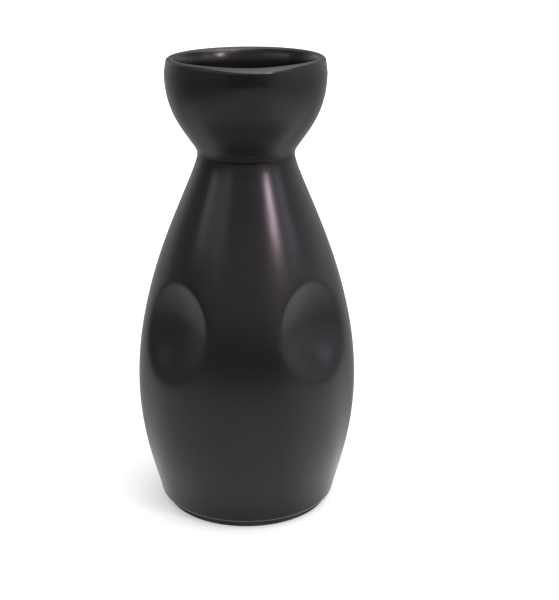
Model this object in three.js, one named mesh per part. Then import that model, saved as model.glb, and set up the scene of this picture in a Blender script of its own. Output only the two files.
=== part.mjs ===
// Wine pot: a hand-sized stoneware bottle with a bowl-shaped mouth and four pressed finger dents.
// It is thrown in sections, and the sections are luted together with clay slip before firing.
// Millimetres, +Z up. The origin is the middle of the standing circle, and the pouring lip faces -Y.
import * as THREE from 'three';
import { mergeVertices, toCreasedNormals } from 'three/addons/utils/BufferGeometryUtils.js';

const { degToRad, euclideanModulo, lerp, smoothstep } = THREE.MathUtils;

// Driving dimensions, with azimuths in degrees from the front towards the right
const HEIGHT = 150.25;
const WALL = 4;

const BELLY = { radius: 36.45, z: 43, below: 17.9, above: 36 };
const EDGE = { radius: 29.7, z: 2.3, round: 1.6, flare: 0.24, rise: 10 };
const WAIST = { radius: 15.7, z: 119.65, fillet: 4.2, shoulder: 0.19, under: 0.58, run: 9.6 };
const BOWL = { radius: 25.7, z: 145.5, floor: 6.8, wall: 12.3 };
const LIP = { radius: 25.25, thickness: 3, bevel: 0.33, bevelLength: 2.75 };
const FOOT = { outer: 27.6, inner: 22.8, round: 0.8 };
const SPIGOT = { radius: 13.5, height: 3, chamfer: 0.5 };
const SLIP = 0.3;

const DENTS = [
  { azimuth: 41.5, z: 68.2 },
  { azimuth: 135, z: 67.6 },
  { azimuth: 225, z: 68 },
  { azimuth: 315, z: 67.3 },
];
const DENT = { halfHeight: 15.6, halfWidth: 15.4, depth: 5.1, softness: 1.1 };
const POUR = { azimuth: 4, halfAngle: 40, reach: 15, push: [0.55, 2], dip: [0.2, 0.5] };
const TILT = { azimuth: 100, rise: 0.25 };

// Inner curves: where they begin, and the handles that they leave and arrive along
const FLOOR = { thickness: 4.6, corner: 9, leave: [-0.6, -4.5], arrive: [-6, 0] };
const THROAT = { radius: 11.6, below: 4, shoulder: 12, leave: [0, -5], arrive: [2.4, -5.6] };
const FUNNEL = { above: 5, below: 1, underRim: 4, leave: [-1.6, -1.9], arrive: [-0.6, -2.6] };

// Facets round the pot and along each curve
const SEGMENTS = 64;
const STEPS = { edge: 2, lower: 6, upper: 18, corner: 4, neck: 3, cup: 8, rim: 4, lip: 3, funnel: 4, foot: 2 };
const CREASE = 40;

// Distances below which points count as one, as merged, or as lying on the axis
const SAME_POINT = 0.01;
const MERGED = 1e-4;
const ON_AXIS = 1e-6;

const GLAZE = { color: 0x2b292e, roughness: 0.42, metalness: 0 };
const BARE_CLAY = { color: 0x4a3a33, roughness: 0.85, metalness: 0 };
const SLIP_CLAY = { color: 0x5a473d, roughness: 0.9, metalness: 0 };

const vec = (x, y) => new THREE.Vector2(x, y);

// A handle that leans from upright by an angle in radians, outward when it is positive.
const handle = (angle, length) => vec(Math.sin(angle), Math.cos(angle)).multiplyScalar(length);

// A cubic curve between two points that leaves and arrives along the given handles.
function sweep(start, leave, arrive, end, steps) {
  const curve = new THREE.CubicBezierCurve(start, start.clone().add(leave), end.clone().sub(arrive), end);
  return curve.getPoints(steps);
}

// A circular arc about a centre, with its angles in radians from the outward direction.
function arc(centre, radius, from, to, steps) {
  const points = [];
  for (let i = 0; i <= steps; i++) {
    const angle = lerp(from, to, i / steps);
    points.push(vec(centre.x + radius * Math.cos(angle), centre.y + radius * Math.sin(angle)));
  }
  return points;
}

// Points that coincide with the one before are dropped, so no facet has zero area.
function path(...pieces) {
  const points = pieces.flat();
  return points.filter((point, i) => i === 0 || point.distanceTo(points[i - 1]) > SAME_POINT);
}

// A line moved sideways by a distance, towards its left as it is walked.
function offset(points, distance) {
  return points.map((point, i) => {
    const before = points[Math.max(i - 1, 0)];
    const after = points[Math.min(i + 1, points.length - 1)];
    const along = after.clone().sub(before).normalize();
    return vec(point.x - along.y * distance, point.y + along.x * distance);
  });
}

// The outline is revolved about the pot's upright axis.
function turn(outline) {
  const lathe = new THREE.LatheGeometry(outline, SEGMENTS);
  lathe.rotateX(Math.PI / 2);
  lathe.deleteAttribute('normal');
  lathe.deleteAttribute('uv');
  return withoutSlivers(mergeVertices(lathe, MERGED));
}

// A revolve that ends on the axis leaves triangles with two corners in one place.
function withoutSlivers(geometry) {
  const corners = geometry.index.array;
  const kept = [];
  for (let i = 0; i < corners.length; i += 3) {
    const [a, b, c] = [corners[i], corners[i + 1], corners[i + 2]];
    if (a !== b && b !== c && c !== a) kept.push(a, b, c);
  }
  geometry.setIndex(kept);
  return geometry;
}

// Each vertex is moved in or out, and up or down, by a rule of its azimuth, height and radius.
function reshape(geometry, rule) {
  const position = geometry.attributes.position;
  for (let i = 0; i < position.count; i++) {
    const [x, y, z] = [position.getX(i), position.getY(i), position.getZ(i)];
    const radius = Math.hypot(x, y);
    if (radius < ON_AXIS) continue;
    const { outward, upward } = rule(Math.atan2(x, -y), z, radius);
    const scale = (radius + outward) / radius;
    position.setXYZ(i, x * scale, y * scale, z + upward);
  }
  return geometry;
}

// The angle from a direction in degrees to an azimuth in radians, between minus and plus half a turn.
function angleFrom(direction, azimuth) {
  return euclideanModulo(azimuth - degToRad(direction) + Math.PI, 2 * Math.PI) - Math.PI;
}

// Four hollows pressed into the wet wall by the fingers. Both skins move in together.
function pressDents(azimuth, z) {
  let outward = 0;
  for (const dent of DENTS) {
    const across = (angleFrom(dent.azimuth, azimuth) * BELLY.radius) / DENT.halfWidth;
    const along = (z - dent.z) / DENT.halfHeight;
    const room = Math.max(0, 1 - across * across - along * along);
    outward -= DENT.depth * Math.pow(room, DENT.softness);
  }
  return { outward, upward: 0 };
}

// The outer half of the rim is drawn out and down over an arc, and the inner half follows it a little,
// which rolls the rim into a shallow pouring lip. The rim as a whole leans a little to one side.
function drawLip(azimuth, z, radius) {
  const away = Math.abs(angleFrom(POUR.azimuth, azimuth));
  const near = 1 - smoothstep(away, 0, degToRad(POUR.halfAngle));
  const up = smoothstep(z, HEIGHT - POUR.reach, HEIGHT);
  const outside = smoothstep(radius, LIP.radius - LIP.thickness / 2, LIP.radius);
  const lean = TILT.rise * Math.cos(angleFrom(TILT.azimuth, azimuth));
  return {
    outward: up * near * lerp(...POUR.push, outside),
    upward: up * (lean - near * lerp(...POUR.dip, outside)),
  };
}

// Outer skin of the body, from its lower edge up to the waist.
function bodyOutside() {
  const low = vec(EDGE.radius - EDGE.round, EDGE.z + EDGE.round);
  const edge = arc(low, EDGE.round, -Math.PI / 2, -EDGE.flare, STEPS.edge);
  const widest = vec(BELLY.radius, BELLY.z);
  const leave = handle(EDGE.flare, EDGE.rise);
  const lower = sweep(edge.at(-1), leave, vec(0, BELLY.below), widest, STEPS.lower);
  const arrive = handle(-WAIST.shoulder, WAIST.run);
  const neck = waistPoint(-WAIST.shoulder);
  const upper = sweep(widest, vec(0, BELLY.above), arrive, neck, STEPS.upper);
  const waist = [-WAIST.shoulder / 2, 0].map(waistPoint);
  return path(edge, lower, upper, waist);
}

// A point on the round hollow of the waist, at an angle in radians above its narrowest line.
function waistPoint(angle) {
  const centre = WAIST.radius + WAIST.fillet;
  return vec(centre - WAIST.fillet * Math.cos(angle), WAIST.z + WAIST.fillet * Math.sin(angle));
}

// Inner skin of the body, from the spigot at its top down to the middle of the floor.
function bodyInside(outside) {
  const floor = EDGE.z + FLOOR.thickness;
  const [lowest, highest] = [floor + FLOOR.corner, WAIST.z - THROAT.shoulder];
  const wall = offset(outside, WALL).filter((point) => point.y > lowest && point.y < highest);
  const throat = vec(THROAT.radius, WAIST.z - THROAT.below);
  const neck = sweep(throat, vec(...THROAT.leave), vec(...THROAT.arrive), wall.at(-1), STEPS.neck);
  const flat = vec(wall[0].x - FLOOR.corner, floor);
  const corner = sweep(wall[0], vec(...FLOOR.leave), vec(...FLOOR.arrive), flat, STEPS.corner);
  return path(neck, wall.toReversed(), corner, vec(0, floor));
}

function bottleBody() {
  const outside = bodyOutside();
  const top = WAIST.z + SPIGOT.height;
  const spigot = [
    vec(SPIGOT.radius, WAIST.z),
    vec(SPIGOT.radius, top - SPIGOT.chamfer),
    vec(SPIGOT.radius - SPIGOT.chamfer, top),
    vec(THROAT.radius, top),
  ];
  const outline = path(vec(0, EDGE.z), outside, spigot, bodyInside(outside));
  return reshape(turn(outline), pressDents);
}

// Outer skin of the mouth, from just above the waist line up to the rim.
function bowlOutside() {
  const waist = [WAIST.under / 3, (WAIST.under * 2) / 3].map(waistPoint);
  const leave = handle(WAIST.under, BOWL.floor);
  const widest = vec(BOWL.radius, BOWL.z);
  const cup = sweep(waistPoint(WAIST.under), leave, vec(0, BOWL.wall), widest, STEPS.cup);
  return path(waist, cup);
}

// The rounded rim, and the short bevel on its inner side.
function rim() {
  const half = LIP.thickness / 2;
  const centre = vec(LIP.radius - half, HEIGHT - half);
  const outer = arc(centre, half, 0, Math.PI / 2, STEPS.rim);
  const inner = arc(centre, half, Math.PI / 2, Math.PI - LIP.bevel, STEPS.lip);
  return path(outer, inner, inner.at(-1).clone().sub(handle(LIP.bevel, LIP.bevelLength)));
}

function mouthBowl() {
  const outside = bowlOutside();
  const socket = SPIGOT.radius + SLIP;
  const seat = vec(WAIST.radius, WAIST.z + SLIP);
  const ceiling = WAIST.z + SPIGOT.height + SLIP;
  const [lowest, highest] = [ceiling + FUNNEL.above, BOWL.z - FUNNEL.underRim];
  const inside = offset(outside, WALL).filter((point) => point.y > lowest && point.y < highest);
  const throat = vec(THROAT.radius, ceiling + FUNNEL.below);
  const funnel = sweep(inside[0], vec(...FUNNEL.leave), vec(...FUNNEL.arrive), throat, STEPS.funnel);
  const joint = [
    vec(THROAT.radius, ceiling),
    vec(socket - SPIGOT.chamfer, ceiling),
    vec(socket, ceiling - SPIGOT.chamfer),
    vec(socket, WAIST.z + SLIP),
    seat,
  ];
  const outline = path(seat, outside, rim(), inside.toReversed(), funnel, joint);
  return reshape(turn(outline), drawLip);
}

// The slip that fills the lapped joint at the waist, under the shelf and up round the spigot.
function waistSlip() {
  const top = WAIST.z + SPIGOT.height;
  const socket = SPIGOT.radius + SLIP;
  const outline = [
    vec(SPIGOT.radius, WAIST.z),
    vec(WAIST.radius, WAIST.z),
    vec(WAIST.radius, WAIST.z + SLIP),
    vec(socket, WAIST.z + SLIP),
    vec(socket, top + SLIP - SPIGOT.chamfer),
    vec(socket - SPIGOT.chamfer, top + SLIP),
    vec(THROAT.radius, top + SLIP),
    vec(THROAT.radius, top),
    vec(SPIGOT.radius - SPIGOT.chamfer, top),
    vec(SPIGOT.radius, top - SPIGOT.chamfer),
  ];
  return turn([...outline, outline[0]]);
}

// A plain turned ring that the pot stands on, set in a little from the edge of the body.
function footRing() {
  const top = EDGE.z - SLIP;
  const { outer, inner, round } = FOOT;
  const outline = path(
    arc(vec(outer - round, round), round, -Math.PI / 2, 0, STEPS.foot),
    vec(outer, top),
    vec(inner, top),
    arc(vec(inner + round, round), round, Math.PI, Math.PI * 1.5, STEPS.foot),
  );
  return turn([...outline, outline[0]]);
}

// The slip between the ring and the underside of the body.
function footSlip() {
  const [low, high] = [EDGE.z - SLIP, EDGE.z];
  const outline = [
    vec(FOOT.inner, low),
    vec(FOOT.outer, low),
    vec(FOOT.outer, high),
    vec(FOOT.inner, high),
  ];
  return turn([...outline, outline[0]]);
}

function piece(name, geometry, finish) {
  const creased = toCreasedNormals(geometry, degToRad(CREASE));
  const mesh = new THREE.Mesh(creased, new THREE.MeshStandardMaterial(finish));
  mesh.name = name;
  return mesh;
}

const group = new THREE.Group();
group.name = 'wine_pot';
group.add(
  piece('bottle_body', bottleBody(), GLAZE),
  piece('mouth_bowl', mouthBowl(), GLAZE),
  piece('waist_slip', waistSlip(), SLIP_CLAY),
  piece('foot_ring', footRing(), BARE_CLAY),
  piece('foot_slip', footSlip(), SLIP_CLAY),
);

export default group;
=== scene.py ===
"""A small stoneware wine pot under a satin black glaze, standing on a pale floor in soft light.

Metres, +Z up. The pot stands on the origin and its pouring lip faces -Y. Azimuths are measured from
the front towards the right.
"""
import math

import bpy
from mathutils import Matrix, Vector
from mathutils.geometry import interpolate_bezier


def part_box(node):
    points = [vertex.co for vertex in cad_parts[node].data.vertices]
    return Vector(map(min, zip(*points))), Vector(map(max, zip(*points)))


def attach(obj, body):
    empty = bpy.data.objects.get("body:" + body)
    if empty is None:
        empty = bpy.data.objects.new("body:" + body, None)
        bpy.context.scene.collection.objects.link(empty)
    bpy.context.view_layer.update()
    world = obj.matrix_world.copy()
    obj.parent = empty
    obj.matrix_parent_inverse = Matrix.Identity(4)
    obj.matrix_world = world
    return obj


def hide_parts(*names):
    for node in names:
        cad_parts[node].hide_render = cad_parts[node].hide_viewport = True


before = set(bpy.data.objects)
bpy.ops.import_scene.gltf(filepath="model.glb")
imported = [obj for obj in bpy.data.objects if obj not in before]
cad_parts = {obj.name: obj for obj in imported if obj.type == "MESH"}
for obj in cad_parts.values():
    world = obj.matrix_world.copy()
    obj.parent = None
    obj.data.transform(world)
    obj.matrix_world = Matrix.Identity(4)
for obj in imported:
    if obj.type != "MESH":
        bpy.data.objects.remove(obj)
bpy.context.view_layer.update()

bl_info = {
    "name": "Wine Pot",
    "version": (1, 0, 0),
    "blender": (4, 5, 0),
    "location": "View3D > Sidebar > Wine Pot",
    "description": "Models a glazed stoneware wine pot section by section, with its stage",
    "category": "Add Mesh",
}

MM = 0.001
BODY_LOW, BODY_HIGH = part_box("bottle_body")
LUTE_LOW, LUTE_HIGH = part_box("waist_slip")
FOOT_LOW, FOOT_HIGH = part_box("foot_ring")

# Faces round a turned piece.
TURN_STEPS = 288
# Points nearer than this are one point.
WELD = 1e-6
# Corners sharper than this stay sharp.
CREASE = math.radians(38)
# Radius of the hollow that runs round the waist.
WAIST_FILLET = 4.2 * MM


class PotSizes(bpy.types.PropertyGroup):
    """The outline of the pot and the thickness of its clay."""

    height: bpy.props.FloatProperty(
        name="Height", description="From the table to the top of the rim, where it is level",
        default=150.25 * MM, min=0.05, unit="LENGTH", precision=4)
    belly_radius: bpy.props.FloatProperty(
        name="Belly radius", description="Half the width at the widest line",
        default=BODY_HIGH.x, min=0.01, unit="LENGTH", precision=4)
    belly_height: bpy.props.FloatProperty(
        name="Belly height", description="Height of the widest line above the table",
        default=43 * MM, min=0.01, unit="LENGTH", precision=4)
    edge_radius: bpy.props.FloatProperty(
        name="Lower edge radius", description="Half the width just above the foot",
        default=29.7 * MM, min=0.01, unit="LENGTH", precision=4)
    waist_radius: bpy.props.FloatProperty(
        name="Waist radius", description="Half the width at the narrowest line",
        default=15.7 * MM, min=0.005, unit="LENGTH", precision=4)
    waist_height: bpy.props.FloatProperty(
        name="Waist height", description="Height of the narrowest line above the table",
        default=LUTE_LOW.z, min=0.02, unit="LENGTH", precision=4)
    bowl_radius: bpy.props.FloatProperty(
        name="Bowl radius", description="Half the width of the mouth at its widest line",
        default=25.7 * MM, min=0.005, unit="LENGTH", precision=4)
    wall: bpy.props.FloatProperty(
        name="Wall", description="Thickness of the thrown wall",
        default=4 * MM, min=0.001, unit="LENGTH", precision=4)
    rim: bpy.props.FloatProperty(
        name="Rim", description="Thickness of the rounded rim",
        default=3 * MM, min=0.001, unit="LENGTH", precision=4)
    throat_radius: bpy.props.FloatProperty(
        name="Throat radius", description="Half the width of the passage through the waist",
        default=11.6 * MM, min=0.002, unit="LENGTH", precision=4)
    foot_width: bpy.props.FloatProperty(
        name="Foot width", description="Width of the ring that the pot stands on",
        default=4.8 * MM, min=0.001, unit="LENGTH", precision=4)


class PotShaping(bpy.types.PropertyGroup):
    """What the hands do to the turned form: the dents, the pouring lip and the throwing rings."""

    dent_azimuths: bpy.props.FloatVectorProperty(
        name="Dent azimuths", description="Directions of the finger dents, from the front towards the right",
        default=[math.radians(angle) for angle in (41.5, 135, 225, 315)], size=4, unit="ROTATION")
    dent_heights: bpy.props.FloatVectorProperty(
        name="Dent heights", description="Heights of the dents' middles above the table",
        default=(68.2 * MM, 67.6 * MM, 68 * MM, 67.3 * MM), size=4, unit="LENGTH", precision=4)
    dent_tall: bpy.props.FloatProperty(
        name="Dent length", description="Size of a dent up the wall",
        default=30.0 * MM, min=0.001, unit="LENGTH", precision=4)
    dent_wide: bpy.props.FloatProperty(
        name="Dent width", description="Size of a dent round the wall",
        default=30.0 * MM, min=0.001, unit="LENGTH", precision=4)
    dent_depth: bpy.props.FloatProperty(
        name="Dent depth", description="How far the wall is pressed in",
        default=5.0 * MM, unit="LENGTH", precision=4)
    dent_edge: bpy.props.FloatProperty(
        name="Dent edge", description="Softness of a dent's edge where the fingertip ends",
        default=0.07, min=0.001, max=1, subtype="FACTOR")
    dent_heel: bpy.props.FloatProperty(
        name="Dent heel", description="Softness of a dent's edge where the finger leaves it, low at the side",
        default=0.28, min=0.001, max=1, subtype="FACTOR")
    lip_azimuth: bpy.props.FloatProperty(
        name="Lip azimuth", description="Direction of the pouring lip, from the front towards the right",
        default=math.radians(4), subtype="ANGLE")
    lip_spread: bpy.props.FloatProperty(
        name="Lip spread", description="Half the arc of rim that is drawn out",
        default=math.radians(40), min=0.01, subtype="ANGLE")
    lip_push: bpy.props.FloatVectorProperty(
        name="Lip push", description="How far the rim is drawn out at the lip, inside and outside",
        default=(0.55 * MM, 2 * MM), size=2, unit="LENGTH", precision=5)
    lip_dip: bpy.props.FloatVectorProperty(
        name="Lip dip", description="How far the rim sinks at the lip, inside and outside",
        default=(0.2 * MM, 0.5 * MM), size=2, unit="LENGTH", precision=5)
    lip_reach: bpy.props.FloatProperty(
        name="Lip reach", description="How far below the rim the wall follows the lip",
        default=15 * MM, min=0.001, unit="LENGTH", precision=4)
    rim_lean: bpy.props.FloatProperty(
        name="Rim lean", description="How far the rim rises at its high side and sinks opposite",
        default=0.25 * MM, unit="LENGTH", precision=5)
    rim_azimuth: bpy.props.FloatProperty(
        name="Rim's high side", description="Direction in which the rim is highest",
        default=math.radians(100), subtype="ANGLE")
    ring_pitch: bpy.props.FloatProperty(
        name="Throwing ring pitch", description="Climb of the spiral left inside by the fingers",
        default=4.2 * MM, min=0.001, unit="LENGTH", precision=4)
    ring_depth: bpy.props.FloatProperty(
        name="Throwing ring depth", description="Half the depth of the spiral left inside",
        default=0.14 * MM, unit="LENGTH", precision=5)


class PotColours(bpy.types.PropertyGroup):
    """Colours of the glaze and of the clay."""

    # Partly glaze pooled in the waist's crease, partly painted shade: this near black also darkens the
    # shoulder under the bowl and the bowl under its rim.
    glaze_pool_and_shade: bpy.props.FloatVectorProperty(
        name="Pooled glaze", description="Where the glaze has run into a hollow",
        default=(0.001, 0.001, 0.0012), min=0, max=1, size=3, subtype="COLOR")
    glaze_deep: bpy.props.FloatVectorProperty(
        name="Deep glaze", description="Where the glaze lies thick",
        default=(0.0032, 0.0028, 0.0037), min=0, max=1, size=3, subtype="COLOR")
    glaze_plain: bpy.props.FloatVectorProperty(
        name="Plain glaze", description="The glaze over most of the pot",
        default=(0.0052, 0.0047, 0.0059), min=0, max=1, size=3, subtype="COLOR")
    glaze_thin: bpy.props.FloatVectorProperty(
        name="Thin glaze", description="Where the glaze breaks over an edge",
        default=(0.017, 0.0135, 0.0125), min=0, max=1, size=3, subtype="COLOR")
    iron_speck: bpy.props.FloatVectorProperty(
        name="Iron speck", description="Fine specks in the glaze",
        default=(0.018, 0.014, 0.013), min=0, max=1, size=3, subtype="COLOR")
    clay: bpy.props.FloatVectorProperty(
        name="Clay", description="The bare fired clay of the foot",
        default=(0.022, 0.019, 0.018), min=0, max=1, size=3, subtype="COLOR")
    clay_dark: bpy.props.FloatVectorProperty(
        name="Dark clay", description="Darker patches of the bare clay",
        default=(0.012, 0.0108, 0.0105), min=0, max=1, size=3, subtype="COLOR")
    grog: bpy.props.FloatVectorProperty(
        name="Grog", description="Pale grains in the bare clay",
        default=(0.07, 0.06, 0.055), min=0, max=1, size=3, subtype="COLOR")
    slip: bpy.props.FloatVectorProperty(
        name="Slip", description="The fired slip in the joints",
        default=(0.05, 0.04, 0.035), min=0, max=1, size=3, subtype="COLOR")


class StageLook(bpy.types.PropertyGroup):
    """The floor, the surroundings and the lamps."""

    floor_size: bpy.props.FloatProperty(
        name="Floor size", description="Side of the floor", default=8, min=1, unit="LENGTH")
    floor_grey: bpy.props.FloatProperty(
        name="Floor grey", description="How much light the floor returns",
        default=0.52, min=0, max=1, subtype="FACTOR")
    floor_glow: bpy.props.FloatProperty(
        name="Floor glow", description="Light that the floor adds near the pot", default=0.44, min=0)
    room: bpy.props.FloatProperty(
        name="Room", description="Brightness of the room round the pot", default=0.32, min=0)
    bright_side: bpy.props.FloatProperty(
        name="Bright side", description="Brightness that the room adds on the right", default=0.5, min=0)
    pale_side: bpy.props.FloatProperty(
        name="Pale side", description="Brightness that the room adds behind the pot, at the left",
        default=0.35, min=0)
    front_side: bpy.props.FloatProperty(
        name="Front side", description="Brightness that the room adds in front, above the horizon",
        default=0.28, min=0)
    sheet_near: bpy.props.FloatProperty(
        name="Sheet starts", description="Distance from the pot where the floor begins to darken in the glaze",
        default=0.05, min=0, unit="LENGTH")
    sheet_far: bpy.props.FloatProperty(
        name="Sheet is full", description="Distance from the pot where the floor is darkest in the glaze",
        default=0.5, min=0, unit="LENGTH")
    flag: bpy.props.FloatProperty(
        name="Neck flag", description="Brightness of the card that the underside of the bowl sees",
        default=0.36, min=0, max=1, subtype="FACTOR")
    key: bpy.props.FloatProperty(
        name="Key lamp", description="Power of the softbox at the front right, in watts", default=3.4, min=0)
    fill: bpy.props.FloatProperty(
        name="Fill lamp", description="Power of the softbox at the front left, in watts", default=0.5, min=0)
    side: bpy.props.FloatProperty(
        name="Side lamp", description="Power of the softbox at the right, in watts", default=0.5, min=0)
    left: bpy.props.FloatProperty(
        name="Left lamp", description="Power of the softbox at the left, in watts", default=0.36, min=0)
    high: bpy.props.FloatProperty(
        name="High lamp", description="Power of the softbox high at the front right, in watts",
        default=3.5, min=0)
    overhead: bpy.props.FloatProperty(
        name="Overhead lamp", description="Power of the softbox above, in watts", default=32, min=0)


# The lamps' place on a sphere round the middle of the pot: azimuth and elevation in degrees, distance,
# size and colour. StageLook holds the power of each under the same name.
LAMP_AIM = Vector((0, 0, 0.08))
LAMPS = {
    "key": (46.5, 31, 1.1, (0.15, 0.22), (1, 0.8, 0.88)),
    "fill": (-50, 29, 1.1, (0.6, 0.35), (1, 1, 1)),
    "side": (72, 25, 1.1, (0.3, 0.3), (0.88, 0.9, 1)),
    "left": (-74, 25, 1.1, (0.25, 0.25), (1, 1, 1)),
    "high": (38, 57, 1.1, (0.6, 0.45), (1, 1, 1)),
    "overhead": (115, 80, 1.3, (1.8, 1.8), (1, 1, 1)),
}


def point(radius, height):
    """A point of an outline, in the plane that is spun round the upright axis."""
    return Vector((radius, 0, height))


def heading(angle, length):
    """A handle that leans outward from upright by the angle."""
    return point(math.sin(angle), math.cos(angle)) * length


def sweep(start, leave, arrive, end, steps):
    """A smooth curve that leaves and arrives along its handles. A longer handle makes a fuller curve."""
    return interpolate_bezier(start, start + leave, end - arrive, end, steps + 1)


def bend(centre, radius, first, last, steps):
    """A circular arc, with its angles from the outward direction."""
    angles = [first + (last - first) * step / steps for step in range(steps + 1)]
    return [centre + point(math.cos(angle), math.sin(angle)) * radius for angle in angles]


def straight(start, end, steps):
    """A straight stretch with evenly spaced points."""
    return [start.lerp(end, step / steps) for step in range(steps + 1)]


def inset(line, distance):
    """The line moved to its left, as it is walked, by the distance."""
    moved = []
    for index, here in enumerate(line):
        along = (line[min(index + 1, len(line) - 1)] - line[max(index - 1, 0)]).normalized()
        moved.append(here + point(-along.z, along.x) * distance)
    return moved


def outline(*stretches):
    """Stretches joined into one line. A point on top of the one before it is dropped."""
    line = []
    for here in (here for stretch in stretches for here in stretch):
        if not line or (here - line[-1]).length > 2 * WELD:
            line.append(here)
    return line


def turned(name, line):
    """A solid of revolution: one vertex is drawn along the line, and the line is spun upright."""
    bpy.ops.object.select_all(action="DESELECT")
    bpy.ops.mesh.primitive_plane_add(size=MM, location=line[0])
    piece = bpy.context.object
    piece.name = piece.data.name = name
    bpy.ops.object.transform_apply(location=True, rotation=True, scale=True)
    bpy.ops.object.mode_set(mode="EDIT")
    bpy.ops.mesh.merge(type="CENTER")
    for before, after in zip(line, line[1:]):
        bpy.ops.mesh.extrude_region_move(TRANSFORM_OT_translate={"value": after - before})
    bpy.ops.mesh.select_all(action="SELECT")
    bpy.ops.mesh.spin(steps=TURN_STEPS, angle=math.tau, center=(0, 0, 0), axis=(0, 0, 1))
    bpy.ops.mesh.select_all(action="SELECT")
    bpy.ops.mesh.remove_doubles(threshold=WELD)
    bpy.ops.mesh.normals_make_consistent(inside=False)
    bpy.ops.object.mode_set(mode="OBJECT")
    return piece


def reshape(piece, rule):
    """Moves each vertex outward and upward by the rule, and keeps how thin the glaze lies there.

    Thinness is 1 on an edge where the glaze breaks and -1 where the colour is darkest: in the waist's crease,
    where the glaze pools, and in painted shade under the bowl and the rim.
    """
    thin_and_shade_layer = piece.data.attributes.new("thin_glaze", "FLOAT", "POINT")
    normals = [vertex.normal.copy() for vertex in piece.data.vertices]
    for vertex, normal in zip(piece.data.vertices, normals):
        x, y, z = vertex.co
        radius = math.hypot(x, y)
        if radius < WELD:
            continue
        facing_in = normal.x * x + normal.y * y < 0
        outward, upward, thinness_and_shade = rule(math.atan2(x, -y), z, radius, facing_in)
        scale = (radius + outward) / radius
        vertex.co = (x * scale, y * scale, z + upward)
        thin_and_shade_layer.data[vertex.index].value = thinness_and_shade
    piece.data.update()


def smooth(piece):
    """Smooth shading with a crease at real corners."""
    bpy.ops.object.select_all(action="DESELECT")
    piece.select_set(True)
    bpy.context.view_layer.objects.active = piece
    bpy.ops.object.shade_smooth_by_angle(angle=CREASE)


def finish_piece(piece, node, slot, *finishes):
    """Gives the piece its finishes and its body, and hides the CAD node that it stands for."""
    for finish in finishes:
        piece.data.materials.append(finish)
    smooth(piece)
    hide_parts(node)
    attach(piece, "root")


def ease(value, low, high):
    """0 below low, 1 above high, and a smooth step between them."""
    share = min(max((value - low) / (high - low), 0), 1)
    return share * share * (3 - 2 * share)


def bell(value, middle, width):
    """1 in the middle, falling off on both sides."""
    return math.exp(-(((value - middle) / width) ** 2))


def angle_from(direction, azimuth):
    """The angle from a direction to an azimuth, between minus and plus half a turn."""
    return (azimuth - direction + math.pi) % math.tau - math.pi


def pressed(shaping, belly_radius, azimuth, height):
    """How far the fingers press the wall in here, and how near it is to the crisp part of a dent's edge."""
    depth, edge = 0, 0
    for direction, middle in zip(shaping.dent_azimuths, shaping.dent_heights):
        across = angle_from(direction, azimuth) * belly_radius / (shaping.dent_wide / 2)
        along = (height - middle) / (shaping.dent_tall / 2)
        # 1 in the dent's middle, 0 on its oval edge and less outside.
        room = 1 - across * across - along * along
        # The finger leaves the wall low in the dent, towards the pot's nearer side.
        sideways = across * math.copysign(1, math.sin(2 * direction))
        heel = ease(0.6 * sideways - 0.8 * along, -0.3, 1)
        softness = shaping.dent_edge + (shaping.dent_heel - shaping.dent_edge) * heel
        depth += shaping.dent_depth * (room + math.hypot(room, softness)) / 2
        edge = max(edge, bell(room, 0, 0.16) * (1 - heel))
    return depth, edge


def drawn(shaping, azimuth, height, top, outside):
    """How far the rim is drawn outward and upward here.

    Outside is 1 on the outer skin and 0 on the inner skin.
    """
    away = abs(angle_from(shaping.lip_azimuth, azimuth))
    near = 1 - ease(away, 0, shaping.lip_spread)
    up = ease(height, top - shaping.lip_reach, top)
    push = shaping.lip_push[0] + (shaping.lip_push[1] - shaping.lip_push[0]) * outside
    dip = shaping.lip_dip[0] + (shaping.lip_dip[1] - shaping.lip_dip[0]) * outside
    lean = shaping.rim_lean * math.cos(angle_from(shaping.rim_azimuth, azimuth))
    return up * near * push, up * (lean - near * dip)


def throwing_ring(shaping, azimuth, height):
    """The shallow spiral that the fingers leave on the inside."""
    return shaping.ring_depth * math.sin(azimuth + math.tau * height / shaping.ring_pitch)


class Value:
    """A number in a finish's node tree, so that sums are written as sums."""

    def __init__(self, finish, socket):
        self.finish = finish
        self.socket = socket

    def __add__(self, other):
        return self.finish.math("ADD", self, other)

    __radd__ = __add__

    def __sub__(self, other):
        return self.finish.math("SUBTRACT", self, other)

    def __rsub__(self, other):
        return self.finish.math("SUBTRACT", other, self)

    def __neg__(self):
        return 0 - self

    def __mul__(self, other):
        return self.finish.math("MULTIPLY", self, other)

    __rmul__ = __mul__

    def __truediv__(self, other):
        return self.finish.math("DIVIDE", self, other)

    def __pow__(self, other):
        return self.finish.math("POWER", self, other)

    def between(self, low, high):
        """0 below low, 1 above high, and a smooth step between them."""
        node = self.finish.node(
            "ShaderNodeMapRange", {"interpolation_type": "SMOOTHSTEP"},
            {"Value": self, "From Min": low, "From Max": high})
        return Value(self.finish, node.outputs["Result"])


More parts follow.
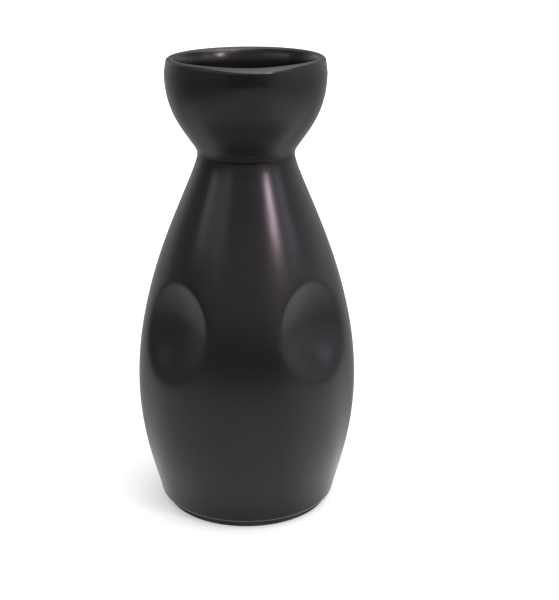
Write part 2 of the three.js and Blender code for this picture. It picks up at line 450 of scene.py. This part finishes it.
class Finish:
    """A node tree under construction, for a material or for the world."""

    def __init__(self, owner):
        self.owner = owner
        owner.use_nodes = True
        self.tree = owner.node_tree
        self.tree.nodes.clear()

    def node(self, kind, settings=None, inputs=None):
        """Adds a node, applies its settings, and then fills its sockets with values or links."""
        node = self.tree.nodes.new(kind)
        for name, setting in (settings or {}).items():
            setattr(node, name, setting)
        for name, given in (inputs or {}).items():
            if isinstance(given, Value):
                given = given.socket
            if isinstance(given, bpy.types.NodeSocket):
                self.tree.links.new(given, node.inputs[name])
            else:
                node.inputs[name].default_value = given
        return node

    def math(self, operation, first, second):
        """Works on two numbers, each given or linked."""
        node = self.node("ShaderNodeMath", {"operation": operation}, {0: first, 1: second})
        return Value(self, node.outputs[0])

    def mix(self, share, first, second):
        """A colour between two colours."""
        colours = {6: opaque(first), 7: opaque(second)}
        node = self.node("ShaderNodeMix", {"data_type": "RGBA"}, {0: share, **colours})
        return node.outputs[2]

    def place(self):
        """Where the surface is, on the piece's own coordinates."""
        return self.node("ShaderNodeTexCoord").outputs["Object"]

    def parts(self, vector):
        """A vector's three numbers: rightward, backward and upward."""
        node = self.node("ShaderNodeSeparateXYZ", None, {"Vector": vector})
        return [Value(self, output) for output in node.outputs]

    def length(self, vector):
        """How long a vector is."""
        node = self.node("ShaderNodeVectorMath", {"operation": "LENGTH"}, {0: vector})
        return Value(self, node.outputs["Value"])

    def noise(self, place, grain, detail=2.0, roughness=0.5):
        """Cloudy noise, with the size of its grain in metres."""
        node = self.node("ShaderNodeTexNoise", None, {
            "Vector": place, "Scale": 1 / grain, "Detail": detail, "Roughness": roughness})
        return Value(self, node.outputs["Fac"])

    def specks(self, place, spacing, size):
        """Scattered round specks, as a mask. The spacing is in metres and the size is a share of it."""
        cells = self.node("ShaderNodeTexVoronoi", None, {
            "Vector": place, "Scale": 1 / spacing, "Randomness": 1.0})
        return 1 - Value(self, cells.outputs["Distance"]).between(size * 0.5, size)

    def attribute(self, name):
        """A number that the mesh carries at each point."""
        node = self.node("ShaderNodeAttribute", {"attribute_name": name})
        return Value(self, node.outputs["Fac"])

    def bump(self, height, depth):
        """Fine relief, with its depth in metres."""
        node = self.node("ShaderNodeBump", None, {"Height": height, "Distance": depth, "Strength": 1.0})
        return node.outputs["Normal"]

    def surface(self, sockets):
        """Ends a material's tree in its shader."""
        shader = self.node("ShaderNodeBsdfPrincipled", None, sockets)
        self.node("ShaderNodeOutputMaterial", None, {"Surface": shader.outputs[0]})
        return self.owner


def opaque(colour):
    """A colour with its alpha, or a link as it is."""
    return colour if isinstance(colour, bpy.types.NodeSocket) else (*colour, 1.0)


def glaze_finish(colours):
    """Satin black glaze that breaks brown on edges, specked and finely dimpled, and darkened to near black in
    the waist and under the rim, partly pooled glaze and partly painted shade.
    """
    if "satin_black_glaze" in bpy.data.materials:
        return bpy.data.materials["satin_black_glaze"]
    finish = Finish(bpy.data.materials.new("satin_black_glaze"))
    place = finish.place()
    drift = finish.noise(place, 26 * MM, detail=3)
    peel = finish.noise(place, 1.5 * MM, detail=1)
    grain = finish.noise(place, 0.22 * MM, detail=2, roughness=0.6)
    specks = finish.specks(place, 1.9 * MM, 0.16)
    thinness_and_shade = finish.attribute("thin_glaze")
    # The break on an edge is uneven where the glaze drifts. The darkening in the waist and under the rim is
    # even.
    broken = thinness_and_shade * (0.55 + 0.9 * (drift - 0.5))
    colour = finish.mix(drift.between(0.34, 0.66), colours.glaze_deep, colours.glaze_plain)
    colour = finish.mix(broken.between(0.02, 0.9), colour, colours.glaze_thin)
    colour = finish.mix(specks * 0.55, colour, colours.iron_speck)
    # Painted shade, with pooled glaze in the waist's crease: near black where the thinness is negative.
    colour = finish.mix((-thinness_and_shade).between(0.02, 0.9), colour, colours.glaze_pool_and_shade)
    return finish.surface({
        "Base Color": colour,
        "Roughness": 0.19 + 0.06 * drift + 0.04 * grain + 0.3 * thinness_and_shade.between(0.3, 0.8),
        "IOR": 1.5,
        "Specular IOR Level": 0.38,
        "Specular Tint": (1.0, 0.955, 1.0, 1.0),
        "Normal": finish.bump(0.72 * peel + 0.28 * grain, 0.016 * MM),
    })


def clay_finish(colours):
    """Bare fired clay: mottled brown with pale grog and the fine rings of the turning tool."""
    if "bare_fired_clay" in bpy.data.materials:
        return bpy.data.materials["bare_fired_clay"]
    finish = Finish(bpy.data.materials.new("bare_fired_clay"))
    place = finish.place()
    mottle = finish.noise(place, 6 * MM, detail=4)
    grain = finish.noise(place, 0.35 * MM, detail=3, roughness=0.65)
    grog = finish.specks(place, 1.3 * MM, 0.22)
    across, back, _ = finish.parts(place)
    radius = (across * across + back * back) ** 0.5
    ring_spacing = 0.55 * MM
    rings = finish.math("SINE", radius * (math.tau / ring_spacing), 0.0)
    colour = finish.mix(mottle.between(0.35, 0.65), colours.clay_dark, colours.clay)
    return finish.surface({
        "Base Color": finish.mix(grog * 0.5, colour, colours.grog),
        "Roughness": 0.78 + 0.16 * grain,
        "Normal": finish.bump(0.5 * grain + 0.3 * rings + 0.2 * grog, 0.05 * MM),
    })


def slip_finish(colours):
    """Fired slip: smoother and paler than the clay round it."""
    finish = Finish(bpy.data.materials.new("fired_slip"))
    place = finish.place()
    cloud = finish.noise(place, 2.4 * MM, detail=3)
    grain = finish.noise(place, 0.2 * MM, detail=2)
    return finish.surface({
        "Base Color": finish.mix(cloud.between(0.3, 0.7), colours.clay, colours.slip),
        "Roughness": 0.84 + 0.1 * grain,
        "Normal": finish.bump(0.6 * grain + 0.4 * cloud, 0.03 * MM),
    })


class Joint:
    """The lapped joint at the waist: a spigot on the body in a socket in the mouth, over a film of slip."""

    def __init__(self, sizes):
        film = LUTE_HIGH.z - BODY_HIGH.z
        self.low = sizes.waist_height
        self.high = self.low + film
        # The two sections close over the film in a seam, so no slip shows outside.
        self.seam = (self.low + self.high) / 2
        self.seam_angle = math.asin((self.seam - sizes.waist_height) / WAIST_FILLET)
        self.film_radius = sizes.waist_radius - 0.4 * MM
        self.throat_radius = sizes.throat_radius
        self.spigot_radius = sizes.throat_radius + 1.9 * MM
        self.spigot_top = BODY_HIGH.z
        self.socket_radius = self.spigot_radius + film
        self.ceiling = self.spigot_top + film
        self.chamfer = 0.5 * MM

    def spigot(self):
        """The outside of the spigot, from its foot up and over to the throat."""
        return [
            point(self.spigot_radius, self.low),
            point(self.spigot_radius, self.spigot_top - self.chamfer),
            point(self.spigot_radius - self.chamfer, self.spigot_top),
            point(self.throat_radius, self.spigot_top)]

    def socket(self):
        """The inside of the socket, from the throat out and down to its mouth."""
        return [
            point(self.throat_radius, self.ceiling),
            point(self.socket_radius - self.chamfer, self.ceiling),
            point(self.socket_radius, self.ceiling - self.chamfer),
            point(self.socket_radius, self.high)]


def waist_bend(sizes, first, last, steps):
    """The hollow of the waist, between two angles above its narrowest line."""
    centre = point(sizes.waist_radius + WAIST_FILLET, sizes.waist_height)
    angles = [first + (last - first) * step / steps for step in range(steps + 1)]
    return [centre + point(-math.cos(angle), math.sin(angle)) * WAIST_FILLET for angle in angles]


def body_line(sizes):
    """The body's outline, from the middle of its underside, up the outside and down the inside."""
    joint = Joint(sizes)
    underside = BODY_LOW.z
    # Slopes of the wall just above the foot and just below the waist, from upright.
    flare, shoulder = 0.24, -0.19
    edge = 1.6 * MM
    edge_centre = point(sizes.edge_radius - edge, underside + edge)
    lower_edge = bend(edge_centre, edge, -math.pi / 2, -flare, 10)
    widest = point(sizes.belly_radius, sizes.belly_height)
    lower = sweep(lower_edge[-1], heading(flare, 10 * MM), point(0, 17.9 * MM), widest, 30)
    waist = waist_bend(sizes, shoulder, joint.seam_angle, 8)
    upper = sweep(widest, point(0, 36 * MM), heading(shoulder, 9.6 * MM), waist[0], 76)
    outside = outline(lower_edge, lower, upper, waist)
    shelf = [point(joint.film_radius, joint.seam), point(joint.film_radius, joint.low)]

    # The inside follows the outside, except at the floor and under the neck.
    floor = underside + 4.6 * MM
    wall = [here for here in inset(outside, sizes.wall)
            if floor + 9 * MM < here.z < sizes.waist_height - 12 * MM]
    throat = point(sizes.throat_radius, sizes.waist_height - 4 * MM)
    under_neck = sweep(throat, point(0, -5 * MM), point(2.4 * MM, -5.6 * MM), wall[-1], 9)
    floor_edge = point(wall[0].x - 9 * MM, floor)
    corner = sweep(wall[0], point(-0.6 * MM, -4.5 * MM), point(-6 * MM, 0), floor_edge, 14)
    return outline(
        straight(point(0, underside), point(edge_centre.x, underside), 12), outside, shelf,
        joint.spigot(), straight(joint.spigot()[-1], throat, 5), under_neck, reversed(wall), corner,
        straight(floor_edge, point(0, floor), 9))


def mouth_line(sizes, lip_radius):
    """The mouth's outline, from the waist up the outside, over the rim and down into the joint."""
    joint = Joint(sizes)
    # Slopes of the bowl where it leaves the waist, and of the bevel inside the rim, from upright.
    under, bevel = 0.58, 0.55
    waist = waist_bend(sizes, joint.seam_angle, under, 10)
    widest = point(sizes.bowl_radius, sizes.height - 4.75 * MM)
    cup = sweep(waist[-1], heading(under, 6.8 * MM), point(0, 12.3 * MM), widest, 34)
    outside = outline(waist, cup)
    half = sizes.rim / 2
    rim = bend(point(lip_radius - half, sizes.height - half), half, 0, math.pi - bevel, 20)

    # The inside follows the outside, except under the rim and over the throat.
    inside = [here for here in inset(outside, sizes.wall)
              if joint.ceiling + 5 * MM < here.z < widest.z - 4 * MM]
    into_rim = sweep(rim[-1], heading(bevel, -3 * MM), point(0, -2.4 * MM), inside[-1], 14)
    throat = point(sizes.throat_radius, joint.ceiling + 1 * MM)
    funnel = sweep(inside[0], point(-1.6 * MM, -1.9 * MM), point(-0.6 * MM, -2.6 * MM), throat, 12)
    shelf = [point(joint.film_radius, joint.high), point(joint.film_radius, joint.seam)]
    return outline(outside, rim, into_rim, reversed(inside), funnel, joint.socket(), shelf, [waist[0]])


def waist_film_line(sizes):
    """The film's outline, out along its foot, over the shelf, up inside the socket and down the spigot."""
    joint = Joint(sizes)
    foot = [
        point(joint.spigot_radius, joint.low), point(joint.film_radius, joint.low),
        point(joint.film_radius, joint.high)]
    return [*foot, *reversed(joint.socket()), *reversed(joint.spigot())]


def foot_film_line(sizes):
    """The film's outline, squeezed round at both of its edges."""
    inner, outer = FOOT_HIGH.x - sizes.foot_width, FOOT_HIGH.x
    half = (BODY_LOW.z - FOOT_HIGH.z) / 2
    middle = (BODY_LOW.z + FOOT_HIGH.z) / 2
    return outline(
        bend(point(outer - half, middle), half, -math.pi / 2, math.pi / 2, 6),
        bend(point(inner + half, middle), half, math.pi / 2, math.pi * 1.5, 6),
        [point(outer - half, middle - half)])


def foot_line(sizes):
    """The foot ring's outline, flat below, with rounded lower edges and small upper ones."""
    inner, outer = FOOT_HIGH.x - sizes.foot_width, FOOT_HIGH.x
    top, edge, upper_edge = FOOT_HIGH.z, 0.7 * MM, 0.2 * MM
    return outline(
        straight(point(inner + edge, FOOT_LOW.z), point(outer - edge, FOOT_LOW.z), 6),
        bend(point(outer - edge, edge), edge, -math.pi / 2, 0, 8),
        bend(point(outer - upper_edge, top - upper_edge), upper_edge, 0, math.pi / 2, 4),
        bend(point(inner + upper_edge, top - upper_edge), upper_edge, math.pi / 2, math.pi, 4),
        bend(point(inner + edge, edge), edge, math.pi, math.pi * 1.5, 8))


class MakeBody(bpy.types.Operator):
    """Throws the body, turns its lower edge and presses the dents through both of its skins"""

    bl_idname = "wine_pot.make_body"
    bl_label = "Body"

    def execute(self, context):
        sizes, shaping = context.scene.wine_pot_sizes, context.scene.wine_pot_shaping
        body = turned("pot_body", body_line(sizes))
        roll_height, roll_depth = BODY_LOW.z + 1.3 * MM, 0.08 * MM
        rings_end = sizes.waist_height - 14 * MM

        def rule(azimuth, height, radius, facing_in):
            hollow, edge = pressed(shaping, sizes.belly_radius, azimuth, height)
            if facing_in:
                ringed = ease(height, 9 * MM, 16 * MM) * (1 - ease(height, rings_end - 8 * MM, rings_end))
                return -hollow + ringed * throwing_ring(shaping, azimuth, height), 0, 0
            glaze_roll = roll_depth * bell(height, roll_height, 0.9 * MM)
            # Painted shade: the shoulder just under the waist, shaded by the bowl, is darkened to near black.
            pooled_and_shaded = ease(height, sizes.waist_height - 9 * MM, sizes.waist_height - 1.5 * MM)
            return -hollow + glaze_roll, 0, 0.25 * edge - pooled_and_shaded

        reshape(body, rule)
        finish_piece(body, "bottle_body", "glaze", glaze_finish(context.scene.wine_pot_colours),
                     clay_finish(context.scene.wine_pot_colours))
        # The underside is wiped clean of glaze.
        for face in body.data.polygons:
            if face.center.z < BODY_LOW.z + 0.1 * MM:
                face.material_index = 1
        return {"FINISHED"}


class MakeMouth(bpy.types.Operator):
    """Throws the bowl-shaped mouth and draws out its pouring lip"""

    bl_idname = "wine_pot.make_mouth"
    bl_label = "Mouth"

    def execute(self, context):
        sizes, shaping = context.scene.wine_pot_sizes, context.scene.wine_pot_shaping
        lip_radius = sizes.bowl_radius - 0.45 * MM
        mouth = turned("pot_mouth", mouth_line(sizes, lip_radius))
        top, half = sizes.height, sizes.rim / 2

        def rule(azimuth, height, radius, facing_in):
            outside = ease(radius, lip_radius - half, lip_radius)
            outward, upward = drawn(shaping, azimuth, height, top, outside)
            rim = ease(height, top - 1.2 * MM, top - 0.1 * MM)
            if facing_in:
                ringed = ease(height, top - 26 * MM, top - 20 * MM)
                ringed *= 1 - ease(height, top - 9 * MM, top - 4 * MM)
                return outward + ringed * throwing_ring(shaping, azimuth, height), upward, 0.8 * rim
            # The colour darkens in the crease of the waist, where the glaze pools and the bowl shades it, and
            # a little under the rim, as painted shade.
            pooled_and_shaded = 1 - ease(height, sizes.waist_height + 0.5 * MM, sizes.waist_height + 3 * MM)
            pooled_and_shaded += 0.5 * bell(height, top - 7 * MM, 5 * MM) * (1 - rim)
            return outward, upward, 0.8 * rim - pooled_and_shaded

        reshape(mouth, rule)
        finish_piece(mouth, "mouth_bowl", "glaze", glaze_finish(context.scene.wine_pot_colours))
        return {"FINISHED"}


class MakeJoints(bpy.types.Operator):
    """Lays the films of slip in the joints at the waist and at the foot"""

    bl_idname = "wine_pot.make_joints"
    bl_label = "Luted joints"

    def execute(self, context):
        sizes = context.scene.wine_pot_sizes
        finish = slip_finish(context.scene.wine_pot_colours)
        finish_piece(turned("waist_slip_film", waist_film_line(sizes)), "waist_slip", "luting_slip", finish)
        finish_piece(turned("foot_slip_film", foot_film_line(sizes)), "foot_slip", "luting_slip", finish)
        return {"FINISHED"}


class MakeFoot(bpy.types.Operator):
    """Turns the bare foot ring that the pot stands on"""

    bl_idname = "wine_pot.make_foot"
    bl_label = "Foot ring"

    def execute(self, context):
        foot = turned("foot_ring_turned", foot_line(context.scene.wine_pot_sizes))
        finish_piece(foot, "foot_ring", "bare_clay", clay_finish(context.scene.wine_pot_colours))
        return {"FINISHED"}


def lamp(name, power, azimuth, elevation, distance, size, colour):
    """A softbox that faces the middle of the pot."""
    turn, rise = math.radians(azimuth), math.radians(elevation)
    towards = Vector((math.sin(turn) * math.cos(rise), -math.cos(turn) * math.cos(rise), math.sin(rise)))
    bpy.ops.object.light_add(type="AREA", location=LAMP_AIM + towards * distance)
    light = bpy.context.object
    light.name = name
    light.rotation_mode = "QUATERNION"
    light.rotation_quaternion = (-towards).to_track_quat("-Z", "Y")
    light.data.shape = "RECTANGLE"
    light.data.size, light.data.size_y = size
    light.data.energy = power
    light.data.color = colour


def surroundings(look):
    """A dim room, brighter on the right, behind at the left and in front. The camera itself sees white."""
    finish = Finish(bpy.context.scene.world or bpy.data.worlds.new("surroundings"))
    bpy.context.scene.world = finish.owner
    rightward, backward, upward = finish.parts(finish.node("ShaderNodeTexCoord").outputs["Generated"])
    left_behind = 0.9 * backward - 0.44 * rightward
    low = 1 - upward.between(0.25, 0.5)
    band = upward.between(0.02, 0.2) * (1 - upward.between(0.45, 0.7))
    brightness = (
        look.room
        + rightward.between(0.2, 0.9) * low * look.bright_side
        + left_behind.between(0.7, 0.97) * look.pale_side
        + (-backward).between(0.2, 0.9) * band * look.front_side)
    seen = Value(finish, finish.node("ShaderNodeLightPath").outputs["Is Camera Ray"])
    brightness = brightness * (1 - seen) + seen
    glow = finish.node("ShaderNodeBackground", None, {"Color": (1, 1, 1, 1), "Strength": brightness})
    finish.node("ShaderNodeOutputWorld", None, {"Surface": glow.outputs[0]})


def floor_finish(look):
    """Plain white paper that glows, less near the pot, so that only the contact shadow shows."""
    finish = Finish(bpy.data.materials.new("white_floor"))
    place = finish.place()
    fibre = finish.noise(place, 3 * MM, detail=2)
    near_glow = (look.floor_glow,) * 3
    return finish.surface({
        "Base Color": opaque((look.floor_grey,) * 3),
        "Roughness": 0.9 + 0.05 * fibre,
        "Specular IOR Level": 0.1,
        "Emission Color": finish.mix(finish.length(place).between(0.1, 0.45), near_glow, (1, 1, 1)),
        "Emission Strength": 1.0,
    })


def card_finish(name):
    """Starts a card's finish, with its place to the right and to the back, and its distance from the pot."""
    finish = Finish(bpy.data.materials.new(name))
    across, back, _ = finish.parts(finish.place())
    return finish, across, back, (across * across + back * back) ** 0.5


def card(name, finish, inner, outer, height):
    """A flat ring round the pot that only the glaze sees, as a reflection."""
    bpy.ops.mesh.primitive_circle_add(vertices=96, radius=inner, location=(0, 0, height))
    ring = bpy.context.object
    ring.name = name
    bpy.ops.object.mode_set(mode="EDIT")
    bpy.ops.mesh.select_all(action="SELECT")
    bpy.ops.mesh.extrude_region_move()
    bpy.ops.transform.resize(value=[outer / inner] * 3)
    bpy.ops.mesh.select_all(action="SELECT")
    bpy.ops.mesh.normals_make_consistent(inside=False)
    bpy.ops.object.mode_set(mode="OBJECT")
    bpy.ops.object.transform_apply(location=True, rotation=True, scale=True)
    ring.data.materials.append(finish)
    ring.visible_camera = ring.visible_diffuse = ring.visible_shadow = False


def grey_sheet(look):
    """Lies on the floor and glows, painting the floor's reflection in the glaze: a painted shadow dark at the
    pot, then a painted reflection that fades to grey with distance, least on the right and behind.
    """
    finish, across, back, distance = card_finish("grey_sheet")
    rightward, backward = across / distance, back / distance
    right, left = rightward.between(0.45, 0.95), (-rightward).between(0.4, 0.95)
    behind = backward.between(0.05, 0.7)
    near = (0.98 + 0.38 * right) * (1 - behind) + 0.48 * behind
    far = (0.09 + 0.55 * right + 0.21 * left) * (1 - behind) + 0.5 * behind
    grey = near + (far - near) * distance.between(look.sheet_near, look.sheet_far)
    # Painted contact shadow in the reflection: the sheet is darkest under the pot's edge.
    under_pot, clear_of_pot = 0.4, distance.between(0.02, 0.047)
    grey = under_pot + (grey - under_pot) * clear_of_pot
    brightest, brightest_colour = 1.35, (1.34, 1.32, 1.36)
    card("grey_sheet", finish.surface({
        "Base Color": (0, 0, 0, 1),
        "Roughness": 1.0,
        "Specular IOR Level": 0.0,
        "Emission Color": finish.mix(grey / brightest, (0, 0, 0), brightest_colour),
        "Emission Strength": 1.0,
    }), inner=31 * MM, outer=look.floor_size / 2, height=0.4 * MM)


def neck_flag(look):
    """A glowing grey card that hangs in front of the shoulder, over the floor that the underside of the bowl
    reflects, and paints a darker reflection there.

    It is clear from below, so nothing else reflects it.
    """
    finish, _, back, distance = card_finish("neck_flag")
    outer = 75 * MM
    forward = (-(back / distance)).between(-0.1, 0.7) * (1 - distance.between(0.04, outer))
    below = Value(finish, finish.node("ShaderNodeNewGeometry").outputs["Backfacing"])
    clear = finish.node("ShaderNodeBsdfTransparent")
    grey = finish.node("ShaderNodeEmission", None, {"Color": opaque((look.flag,) * 3)})
    either = finish.node("ShaderNodeMixShader", None, {
        0: forward * (1 - below), 1: clear.outputs[0], 2: grey.outputs[0]})
    finish.node("ShaderNodeOutputMaterial", None, {"Surface": either.outputs[0]})
    card("neck_flag", finish.owner, inner=27.5 * MM, outer=outer, height=92 * MM)


class MakeStage(bpy.types.Operator):
    """Lays the floor, hangs the lamps and sets up the camera"""

    bl_idname = "wine_pot.make_stage"
    bl_label = "Stage"

    def execute(self, context):
        look = context.scene.wine_pot_stage
        context.scene.view_settings.view_transform = "Standard"
        bpy.ops.object.select_all(action="DESELECT")
        bpy.ops.mesh.primitive_plane_add(size=look.floor_size)
        floor = context.object
        floor.name = "floor"
        floor.data.materials.append(floor_finish(look))
        grey_sheet(look)
        neck_flag(look)
        surroundings(look)
        for name, placing in LAMPS.items():
            lamp(name + "_softbox", getattr(look, name), *placing)
        self.camera(context)
        return {"FINISHED"}

    def camera(self, context):
        """The photograph's viewpoint: a little above the pot, which stands left of the middle."""
        distance, height = 390 * MM, 202.9 * MM
        pitch, yaw, roll = 0.3288, 0.028, -0.005
        focal_pixels, image_height, sensor = 1236, 600, 36
        bpy.ops.object.camera_add(location=(0, -distance, height))
        camera = context.object
        camera.data.sensor_fit = "AUTO"
        camera.data.sensor_width = sensor
        camera.data.lens = focal_pixels * sensor / image_height
        camera.data.clip_start = 0.01
        right = Vector((math.cos(yaw), -math.sin(yaw), 0))
        ahead = Vector((math.sin(yaw) * math.cos(pitch), math.cos(yaw) * math.cos(pitch), -math.sin(pitch)))
        above = right.cross(ahead)
        tilted_right = right * math.cos(roll) - above * math.sin(roll)
        tilted_above = right * math.sin(roll) + above * math.cos(roll)
        axes = Matrix((tilted_right, tilted_above, -ahead)).transposed()
        camera.matrix_world = Matrix.Translation(camera.location) @ axes.to_4x4()
        context.scene.camera = camera


class PotPanel(bpy.types.Panel):
    """Lists the pot's sections and the stage"""

    bl_idname = "VIEW3D_PT_wine_pot"
    bl_label = "Wine Pot"
    bl_space_type = "VIEW_3D"
    bl_region_type = "UI"
    bl_category = "Wine Pot"

    def draw(self, context):
        for operator in OPERATORS:
            self.layout.operator(operator.bl_idname)
        for name in GROUPS:
            settings = getattr(context.scene, name)
            box = self.layout.box()
            for field in type(settings).__annotations__:
                box.prop(settings, field)


GROUPS = {
    "wine_pot_sizes": PotSizes,
    "wine_pot_shaping": PotShaping,
    "wine_pot_colours": PotColours,
    "wine_pot_stage": StageLook,
}
OPERATORS = (MakeStage, MakeBody, MakeMouth, MakeJoints, MakeFoot)


def register():
    for part in (*GROUPS.values(), *OPERATORS, PotPanel):
        bpy.utils.register_class(part)
    for name, group in GROUPS.items():
        setattr(bpy.types.Scene, name, bpy.props.PointerProperty(type=group))


def unregister():
    for name in GROUPS:
        delattr(bpy.types.Scene, name)
    for part in reversed((*GROUPS.values(), *OPERATORS, PotPanel)):
        bpy.utils.unregister_class(part)


def main():
    register()
    bpy.ops.wine_pot.make_stage()
    bpy.ops.wine_pot.make_body()
    bpy.ops.wine_pot.make_mouth()
    bpy.ops.wine_pot.make_joints()
    bpy.ops.wine_pot.make_foot()


if __name__ == "__main__":
    main()
